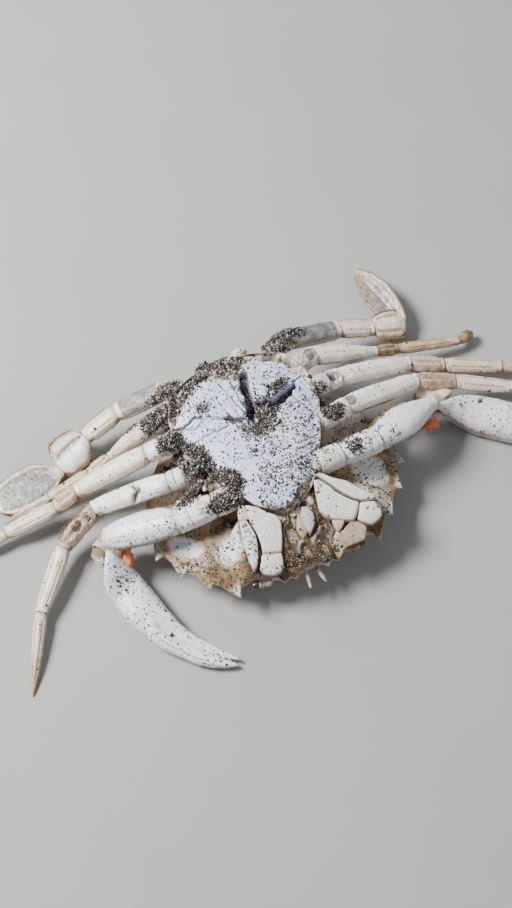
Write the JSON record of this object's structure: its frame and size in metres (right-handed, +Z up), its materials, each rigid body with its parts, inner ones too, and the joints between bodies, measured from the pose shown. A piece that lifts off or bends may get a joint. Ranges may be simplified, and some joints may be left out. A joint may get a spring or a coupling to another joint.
{
  "type": "paddle crab",
  "caption": "Life-size museum model of a washed-up paddle crab lying on its back, with spread legs, curved claws, flat swimming paddles and a toothed shell",
  "frame": {"origin": "Middle of the small flat under the shell of the back, which the crab rests on.", "axes": "+Z up, towards the crab's belly as it lies on its back; -Y towards its mouth; +X towards the claw that is on the right of the picture."},
  "size_m": [0.2465, 0.1298, 0.0333],
  "materials": {
    "shell": "dry shell of the back, tan to cream, brown down between its teeth",
    "thorax": "smooth bluish white breastplate, speckled with dark grains",
    "jaw": "smooth white jaw plates with cream edges",
    "mouth": "brown dried mouth parts",
    "claw": "glossy porcelain white claw shell, cream at the joints",
    "leg": "ivory leg shell with tan edges and joints",
    "blade": "thin grey horny blade with a pale rim",
    "eye": "dark eye on a short stalk"
  },
  "bodies": {
    "root": {"carapace": "shell", "thorax": "thorax", "pleon": "leg", "mandibles": "mouth", "maxilliped_left": "jaw", "exopod_left": "jaw", "eye_left": "eye", "antenna_left": "jaw", "claw_left_base": "claw", "claw_left_arm": "claw", "claw_left_wrist": "claw", "claw_left_palm": "claw", "claw_left_finger": "claw", "leg_2_left_merus": "leg", "leg_2_left_carpus": "leg", "leg_2_left_propodus": "leg", "leg_2_left_dactyl": "leg", "leg_3_left_merus": "leg", "leg_3_left_carpus": "leg", "leg_3_left_propodus": "leg", "leg_3_left_dactyl": "leg", "leg_4_left_merus": "leg", "leg_4_left_carpus": "leg", "leg_4_left_propodus": "leg", "leg_4_left_dactyl": "leg", "paddle_leg_left_merus": "leg", "paddle_leg_left_carpus": "leg", "paddle_leg_left_propodus": "leg", "paddle_leg_left_paddle": "blade", "maxilliped_right": "jaw", "exopod_right": "jaw", "eye_right": "eye", "antenna_right": "jaw", "claw_right_base": "claw", "claw_right_arm": "claw", "claw_right_wrist": "claw", "claw_right_palm": "claw", "claw_right_finger": "claw", "leg_2_right_merus": "leg", "leg_2_right_carpus": "leg", "leg_2_right_propodus": "leg", "leg_2_right_dactyl": "leg", "leg_3_right_merus": "leg", "leg_3_right_carpus": "leg", "leg_3_right_propodus": "leg", "leg_3_right_dactyl": "leg", "leg_4_right_merus": "leg", "leg_4_right_carpus": "leg", "leg_4_right_propodus": "leg", "leg_4_right_dactyl": "leg", "paddle_leg_right_merus": "leg", "paddle_leg_right_carpus": "leg", "paddle_leg_right_propodus": "leg", "paddle_leg_right_paddle": "blade"}
  },
  "joints": []
}
